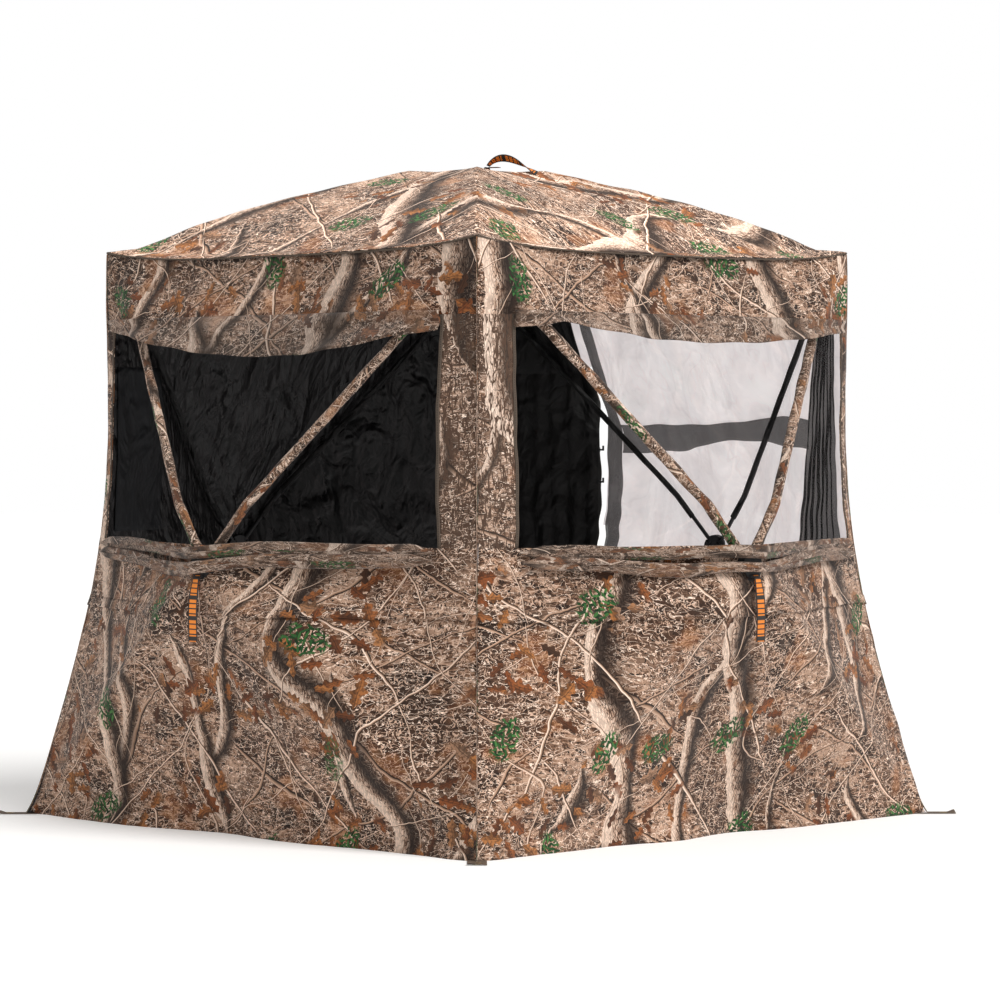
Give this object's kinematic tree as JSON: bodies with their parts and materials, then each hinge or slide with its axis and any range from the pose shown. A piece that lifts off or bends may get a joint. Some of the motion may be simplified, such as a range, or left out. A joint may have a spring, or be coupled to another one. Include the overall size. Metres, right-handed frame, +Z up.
{
  "type": "pop up ground blind",
  "caption": "Square pop up hunting blind: camouflage fabric shell on hub and pole linkages, with window openings, a see-through wall and a door flap.",
  "frame": {"origin": "centre of the footprint, on the ground", "axes": "+Z up; the front window wall faces -Y, the right window wall +X, the see-through back wall +Y, the closed left wall -X"},
  "size_m": [1.9246, 1.9246, 1.7195],
  "materials": {
    "pole": "semi-matt pultruded fibreglass rod",
    "hub_plastic": "moulded nylon, matt",
    "cap_plastic": "moulded nylon, matt",
    "fitting_plastic": "moulded nylon, matt",
    "steel": "plain steel pins",
    "webbing": "woven black and orange webbing",
    "camo_fabric": "printed woven polyester, matt outside, black inside",
    "muted_camo_mesh": "printed soft mesh, muted",
    "black_lining": "coated black lining, slight sheen",
    "black_mesh": "fine black mesh",
    "shock_cord": "black shock cord",
    "camo_webbing": "dark webbing tab",
    "eyelet_metal": "pressed brass eyelet"
  },
  "bodies": {
    "root": {"back_corner_mesh_curtain": "black_mesh", "back_inner_mesh": "black_mesh", "back_wall": "camo_fabric", "base_corner_fittings": "fitting_plastic", "door_cord": "shock_cord", "front_wall": "camo_fabric", "front_window_shade_roll": "muted_camo_mesh", "front_window_valance": "muted_camo_mesh", "left_blackout_panel": "black_lining", "left_wall": "camo_fabric", "right_wall": "camo_fabric", "right_window_shade_roll": "muted_camo_mesh", "right_window_valance": "muted_camo_mesh", "roof_fabric": "camo_fabric", "stake_eyelets": "eyelet_metal", "stake_tabs": "camo_webbing", "top_corner_fittings": "fitting_plastic"},
    "roof_hub": {"roof_hub": "hub_plastic", "roof_hub_pins": "steel", "roof_hub_cap": "cap_plastic"},
    "roof_pole_back_right": {"roof_pole_back_right": "pole"},
    "roof_pole_back_left": {"roof_pole_back_left": "pole"},
    "roof_pole_front_left": {"roof_pole_front_left": "pole"},
    "roof_pole_front_right": {"roof_pole_front_right": "pole"},
    "roof_pull_strap": {"roof_pull_strap": "webbing"},
    "right_hub": {"right_hub": "hub_plastic", "right_hub_pins": "steel", "right_hub_cap": "cap_plastic"},
    "right_pole_top_left": {"right_pole_top_left": "pole"},
    "right_pole_top_right": {"right_pole_top_right": "pole"},
    "right_pole_bottom_left": {"right_pole_bottom_left": "pole"},
    "right_pole_bottom_right": {"right_pole_bottom_right": "pole"},
    "right_pull_strap": {"right_pull_strap": "webbing"},
    "back_hub": {"back_hub": "hub_plastic", "back_hub_pins": "steel", "back_hub_cap": "cap_plastic"},
    "back_pole_top_left": {"back_pole_top_left": "pole"},
    "back_pole_top_right": {"back_pole_top_right": "pole"},
    "back_pole_bottom_left": {"back_pole_bottom_left": "pole"},
    "back_pole_bottom_right": {"back_pole_bottom_right": "pole"},
    "back_pull_strap": {"back_pull_strap": "webbing"},
    "left_hub": {"left_hub": "hub_plastic", "left_hub_pins": "steel", "left_hub_cap": "cap_plastic"},
    "left_pole_top_left": {"left_pole_top_left": "pole"},
    "left_pole_top_right": {"left_pole_top_right": "pole"},
    "left_pole_bottom_left": {"left_pole_bottom_left": "pole"},
    "left_pole_bottom_right": {"left_pole_bottom_right": "pole"},
    "left_pull_strap": {"left_pull_strap": "webbing"},
    "front_hub": {"front_hub": "hub_plastic", "front_hub_pins": "steel", "front_hub_cap": "cap_plastic"},
    "front_pole_top_left": {"front_pole_top_left": "pole"},
    "front_pole_top_right": {"front_pole_top_right": "pole"},
    "front_pole_bottom_left": {"front_pole_bottom_left": "pole"},
    "front_pole_bottom_right": {"front_pole_bottom_right": "pole"},
    "front_pull_strap": {"front_pull_strap": "webbing"},
    "door_flap": {"door_flap": "black_lining"},
    "door_hook_upper": {"door_hook_upper": "fitting_plastic"},
    "door_hook_lower": {"door_hook_lower": "fitting_plastic"}
  },
  "joints": [
    {"name": "roof_hub_pop", "type": "slide", "parent": "root", "child": "roof_hub", "axis": [0, 0, 1], "range_m": [-0.449, 0], "deforming": ["roof_fabric"]},
    {"name": "roof_pole_back_right_hinge", "type": "hinge", "parent": "roof_hub", "child": "roof_pole_back_right", "pos_m": [0.0198, 0.0198, 1.6625], "axis": [0.7071, -0.7071, 0], "range_deg": [-0.5, 30]},
    {"name": "roof_pole_back_left_hinge", "type": "hinge", "parent": "roof_hub", "child": "roof_pole_back_left", "pos_m": [-0.0198, 0.0198, 1.6625], "axis": [0.7071, 0.7071, 0], "range_deg": [-0.5, 30]},
    {"name": "roof_pole_front_left_hinge", "type": "hinge", "parent": "roof_hub", "child": "roof_pole_front_left", "pos_m": [-0.0198, -0.0198, 1.6625], "axis": [-0.7071, 0.7071, 0], "range_deg": [-0.5, 30]},
    {"name": "roof_pole_front_right_hinge", "type": "hinge", "parent": "roof_hub", "child": "roof_pole_front_right", "pos_m": [0.0198, -0.0198, 1.6625], "axis": [-0.7071, -0.7071, 0], "range_deg": [-0.5, 30]},
    {"name": "roof_pull_strap_swing", "type": "hinge", "parent": "roof_hub", "child": "roof_pull_strap", "pos_m": [0.02538, 0.01183, 1.6798], "axis": [0.4226, -0.9063, 0], "range_deg": [0, 130]},
    {"name": "right_hub_pop", "type": "slide", "parent": "root", "child": "right_hub", "axis": [0.9954, 0, 0.0962], "range_m": [-0.41168, 0], "deforming": ["right_wall", "right_window_valance", "right_window_shade_roll"]},
    {"name": "right_pole_top_left_hinge", "type": "hinge", "parent": "right_hub", "child": "right_pole_top_left", "pos_m": [0.93693, -0.0179, 0.69143], "axis": [-0.0615, 0.769, 0.6363], "range_deg": [-0.5, 24.92]},
    {"name": "right_pole_top_right_hinge", "type": "hinge", "parent": "right_hub", "child": "right_pole_top_right", "pos_m": [0.93693, 0.0179, 0.69143], "axis": [0.0615, 0.769, -0.6363], "range_deg": [-0.5, 24.92]},
    {"name": "right_pole_bottom_left_hinge", "type": "hinge", "parent": "right_hub", "child": "right_pole_bottom_left", "pos_m": [0.94068, -0.0219, 0.65264], "axis": [-0.0752, -0.623, 0.7786], "range_deg": [-0.5, 25.25]},
    {"name": "right_pole_bottom_right_hinge", "type": "hinge", "parent": "right_hub", "child": "right_pole_bottom_right", "pos_m": [0.94068, 0.0219, 0.65264], "axis": [0.0752, -0.623, -0.7786], "range_deg": [-0.5, 25.25]},
    {"name": "right_pull_strap_swing", "type": "hinge", "parent": "right_hub", "child": "right_pull_strap", "pos_m": [0.95891, 0, 0.64379], "axis": [0, -1, 0], "range_deg": [-6, 120]},
    {"name": "back_hub_pop", "type": "slide", "parent": "root", "child": "back_hub", "axis": [0, 0.9954, 0.0962], "range_m": [-0.41168, 0], "deforming": ["back_wall", "back_inner_mesh", "back_corner_mesh_curtain"]},
    {"name": "back_pole_top_left_hinge", "type": "hinge", "parent": "back_hub", "child": "back_pole_top_left", "pos_m": [0.0179, 0.93693, 0.69143], "axis": [-0.769, -0.0615, 0.6363], "range_deg": [-0.5, 24.92]},
    {"name": "back_pole_top_right_hinge", "type": "hinge", "parent": "back_hub", "child": "back_pole_top_right", "pos_m": [-0.0179, 0.93693, 0.69143], "axis": [-0.769, 0.0615, -0.6363], "range_deg": [-0.5, 24.92]},
    {"name": "back_pole_bottom_left_hinge", "type": "hinge", "parent": "back_hub", "child": "back_pole_bottom_left", "pos_m": [0.0219, 0.94068, 0.65264], "axis": [0.623, -0.0752, 0.7786], "range_deg": [-0.5, 25.25]},
    {"name": "back_pole_bottom_right_hinge", "type": "hinge", "parent": "back_hub", "child": "back_pole_bottom_right", "pos_m": [-0.0219, 0.94068, 0.65264], "axis": [0.623, 0.0752, -0.7786], "range_deg": [-0.5, 25.25]},
    {"name": "back_pull_strap_swing", "type": "hinge", "parent": "back_hub", "child": "back_pull_strap", "pos_m": [0, 0.95891, 0.64379], "axis": [1, 0, 0], "range_deg": [-6, 120]},
    {"name": "left_hub_pop", "type": "slide", "parent": "root", "child": "left_hub", "axis": [-0.9954, 0, 0.0962], "range_m": [-0.41168, 0], "deforming": ["left_wall", "left_blackout_panel"]},
    {"name": "left_pole_top_left_hinge", "type": "hinge", "parent": "left_hub", "child": "left_pole_top_left", "pos_m": [-0.93693, 0.0179, 0.69143], "axis": [0.0615, -0.769, 0.6363], "range_deg": [-0.5, 24.92]},
    {"name": "left_pole_top_right_hinge", "type": "hinge", "parent": "left_hub", "child": "left_pole_top_right", "pos_m": [-0.93693, -0.0179, 0.69143], "axis": [-0.0615, -0.769, -0.6363], "range_deg": [-0.5, 24.92]},
    {"name": "left_pole_bottom_left_hinge", "type": "hinge", "parent": "left_hub", "child": "left_pole_bottom_left", "pos_m": [-0.94068, 0.0219, 0.65264], "axis": [0.0752, 0.623, 0.7786], "range_deg": [-0.5, 25.25]},
    {"name": "left_pole_bottom_right_hinge", "type": "hinge", "parent": "left_hub", "child": "left_pole_bottom_right", "pos_m": [-0.94068, -0.0219, 0.65264], "axis": [-0.0752, 0.623, -0.7786], "range_deg": [-0.5, 25.25]},
    {"name": "left_pull_strap_swing", "type": "hinge", "parent": "left_hub", "child": "left_pull_strap", "pos_m": [-0.95891, 0, 0.64379], "axis": [0, 1, 0], "range_deg": [-6, 120]},
    {"name": "front_hub_pop", "type": "slide", "parent": "root", "child": "front_hub", "axis": [0, -0.9954, 0.0962], "range_m": [-0.41168, 0], "deforming": ["front_wall", "front_window_valance", "front_window_shade_roll"]},
    {"name": "front_pole_top_left_hinge", "type": "hinge", "parent": "front_hub", "child": "front_pole_top_left", "pos_m": [-0.0179, -0.93693, 0.69143], "axis": [0.769, 0.0615, 0.6363], "range_deg": [-0.5, 24.92]},
    {"name": "front_pole_top_right_hinge", "type": "hinge", "parent": "front_hub", "child": "front_pole_top_right", "pos_m": [0.0179, -0.93693, 0.69143], "axis": [0.769, -0.0615, -0.6363], "range_deg": [-0.5, 24.92]},
    {"name": "front_pole_bottom_left_hinge", "type": "hinge", "parent": "front_hub", "child": "front_pole_bottom_left", "pos_m": [-0.0219, -0.94068, 0.65264], "axis": [-0.623, 0.0752, 0.7786], "range_deg": [-0.5, 25.25]},
    {"name": "front_pole_bottom_right_hinge", "type": "hinge", "parent": "front_hub", "child": "front_pole_bottom_right", "pos_m": [0.0219, -0.94068, 0.65264], "axis": [-0.623, -0.0752, -0.7786], "range_deg": [-0.5, 25.25]},
    {"name": "front_pull_strap_swing", "type": "hinge", "parent": "front_hub", "child": "front_pull_strap", "pos_m": [0, -0.95891, 0.64379], "axis": [-1, 0, 0], "range_deg": [-6, 120]},
    {"name": "door_flap_swing", "type": "hinge", "parent": "root", "child": "door_flap", "pos_m": [-0.665, 0.84444, 0.15], "axis": [0, -0.1414, 0.99], "range_deg": [0, 100]},
    {"name": "door_hook_upper_slide", "type": "slide", "parent": "root", "child": "door_hook_upper", "axis": [0, 0, 1], "range_m": [-0.035, 0.035]},
    {"name": "door_hook_lower_slide", "type": "slide", "parent": "root", "child": "door_hook_lower", "axis": [0, 0, 1], "range_m": [-0.035, 0.015]}
  ],
  "couplings": [
    {"joint": "roof_pole_back_right_hinge", "follows": "roof_hub_pop", "rad_per_m": -1.1469},
    {"joint": "roof_pole_back_left_hinge", "follows": "roof_hub_pop", "rad_per_m": -1.1469},
    {"joint": "roof_pole_front_left_hinge", "follows": "roof_hub_pop", "rad_per_m": -1.1469},
    {"joint": "roof_pole_front_right_hinge", "follows": "roof_hub_pop", "rad_per_m": -1.1469},
    {"joint": "right_pole_top_left_hinge", "follows": "right_hub_pop", "rad_per_m": -1.0353},
    {"joint": "right_pole_top_right_hinge", "follows": "right_hub_pop", "rad_per_m": -1.0353},
    {"joint": "right_pole_bottom_left_hinge", "follows": "right_hub_pop", "rad_per_m": -1.0491},
    {"joint": "right_pole_bottom_right_hinge", "follows": "right_hub_pop", "rad_per_m": -1.0491},
    {"joint": "back_pole_top_left_hinge", "follows": "back_hub_pop", "rad_per_m": -1.0353},
    {"joint": "back_pole_top_right_hinge", "follows": "back_hub_pop", "rad_per_m": -1.0353},
    {"joint": "back_pole_bottom_left_hinge", "follows": "back_hub_pop", "rad_per_m": -1.0491},
    {"joint": "back_pole_bottom_right_hinge", "follows": "back_hub_pop", "rad_per_m": -1.0491},
    {"joint": "left_pole_top_left_hinge", "follows": "left_hub_pop", "rad_per_m": -1.0353},
    {"joint": "left_pole_top_right_hinge", "follows": "left_hub_pop", "rad_per_m": -1.0353},
    {"joint": "left_pole_bottom_left_hinge", "follows": "left_hub_pop", "rad_per_m": -1.0491},
    {"joint": "left_pole_bottom_right_hinge", "follows": "left_hub_pop", "rad_per_m": -1.0491},
    {"joint": "front_pole_top_left_hinge", "follows": "front_hub_pop", "rad_per_m": -1.0353},
    {"joint": "front_pole_top_right_hinge", "follows": "front_hub_pop", "rad_per_m": -1.0353},
    {"joint": "front_pole_bottom_left_hinge", "follows": "front_hub_pop", "rad_per_m": -1.0491},
    {"joint": "front_pole_bottom_right_hinge", "follows": "front_hub_pop", "rad_per_m": -1.0491}
  ]
}
